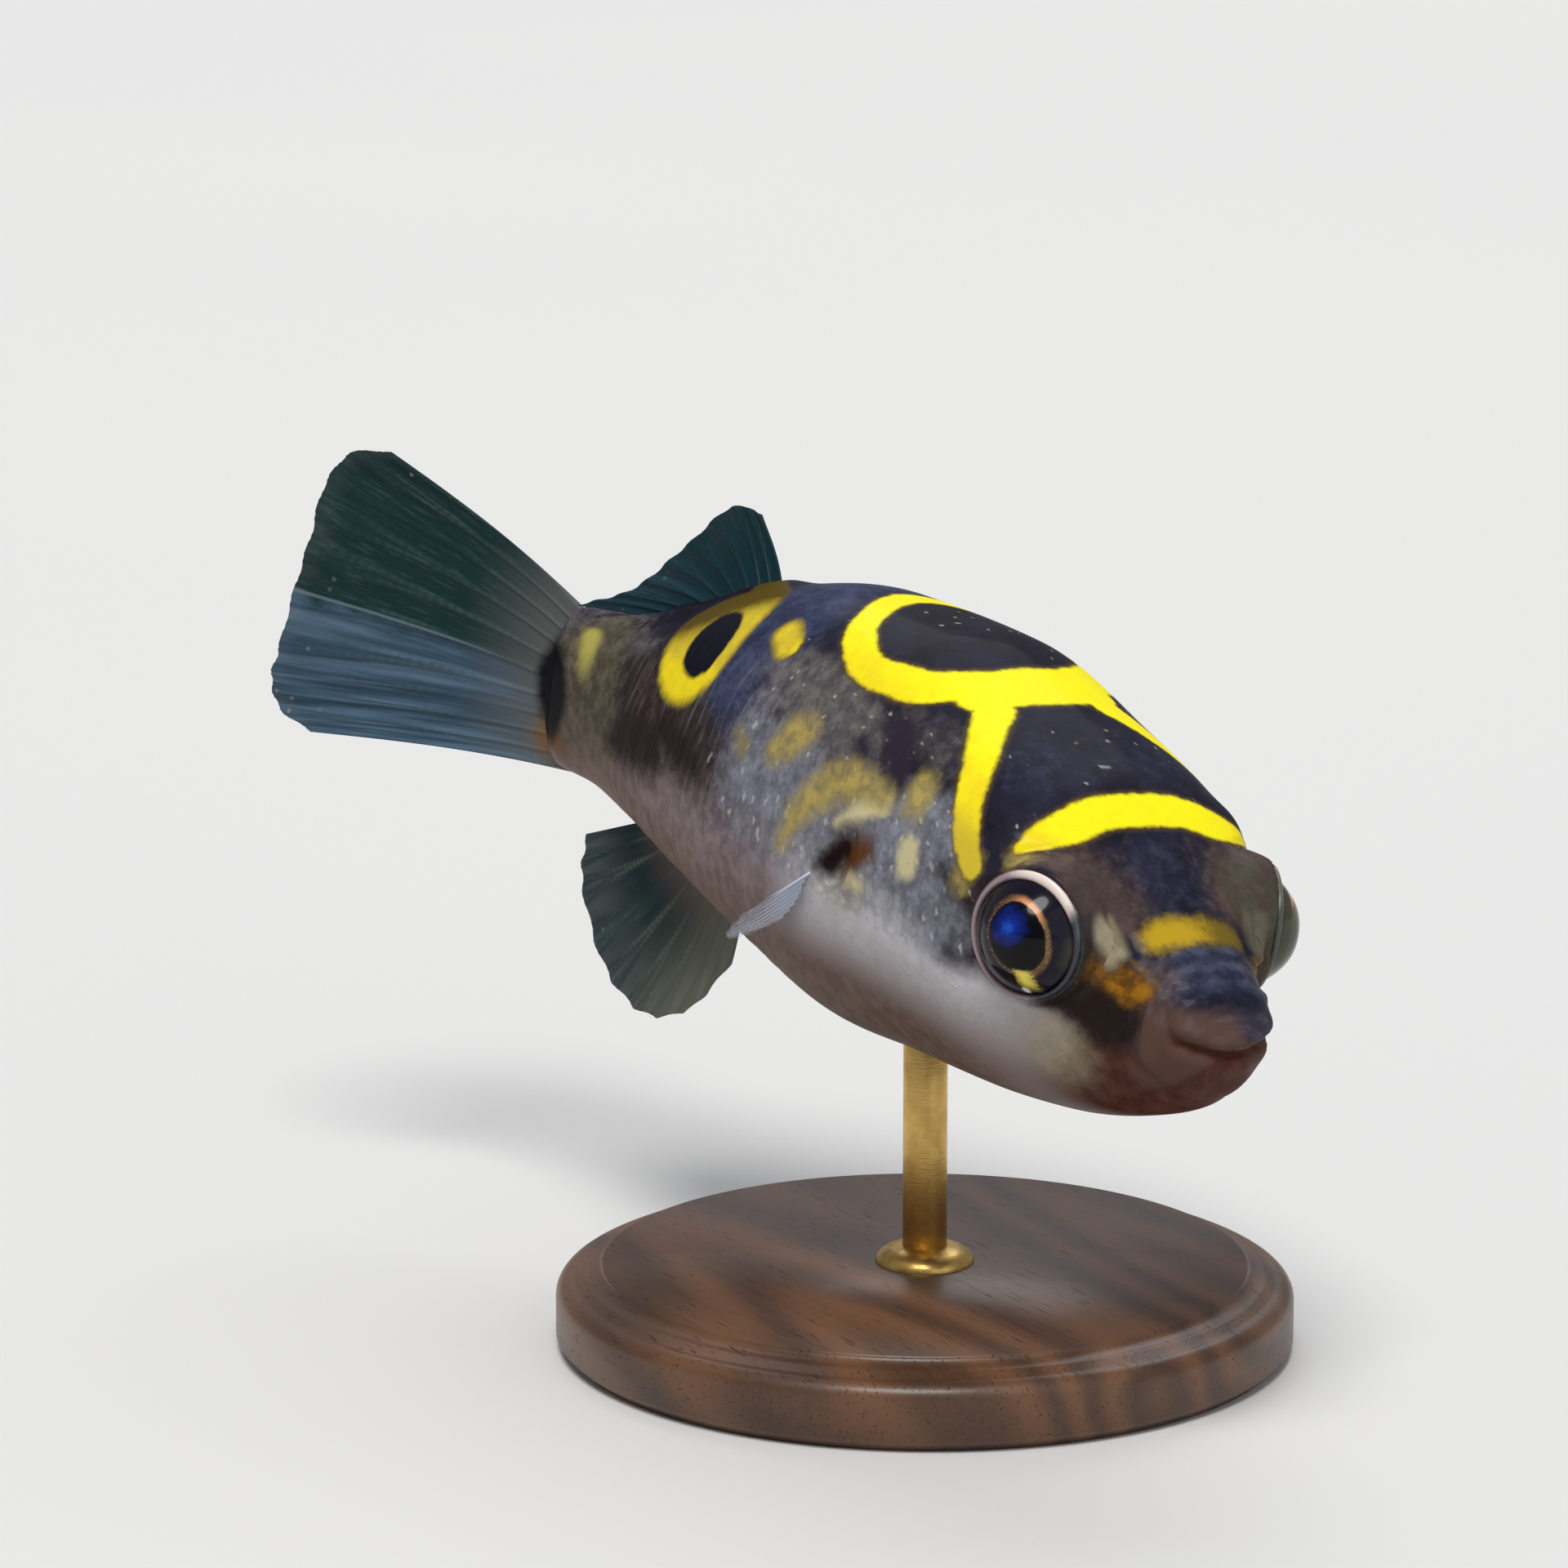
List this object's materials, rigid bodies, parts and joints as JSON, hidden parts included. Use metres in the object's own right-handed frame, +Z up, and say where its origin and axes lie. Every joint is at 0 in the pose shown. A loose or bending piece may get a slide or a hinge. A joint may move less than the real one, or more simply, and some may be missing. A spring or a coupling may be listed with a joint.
{
  "type": "pufferfish",
  "caption": "Still life-size museum model of a figure-eight pufferfish: yellow loops on a dark back, pale belly, body curved to its right, held by a brass rod over a round wooden base.",
  "frame": {"origin": "centre of the underside of the stand's base", "axes": "+X the way the fish heads, +Y to the fish's left, +Z up"},
  "size_m": [0.0753, 0.04, 0.0447],
  "materials": {
    "skin": "moist satin skin with fine prickles: dark slate back with yellow bars and loops, mottled grey flanks, pale belly",
    "eye": "polished cornea over a dark blue pupil and a thin gold iris ring",
    "dark_fin": "thin slate-teal membrane between paler branching rays",
    "clear_fin": "nearly clear membrane between whitish rays",
    "stand_wood": "turned dark walnut, waxed",
    "stand_brass": "satin brass"
  },
  "bodies": {
    "root": {"head": "skin", "upper_lip": "skin", "lower_lip": "skin", "trunk": "skin", "tail": "skin", "eye_left": "eye", "eye_right": "eye", "caudal_fin": "dark_fin", "dorsal_fin": "dark_fin", "anal_fin": "dark_fin", "pectoral_fin_left": "clear_fin", "pectoral_fin_right": "clear_fin", "stand_base": "stand_wood", "stand_rod": "stand_brass"}
  },
  "joints": []
}
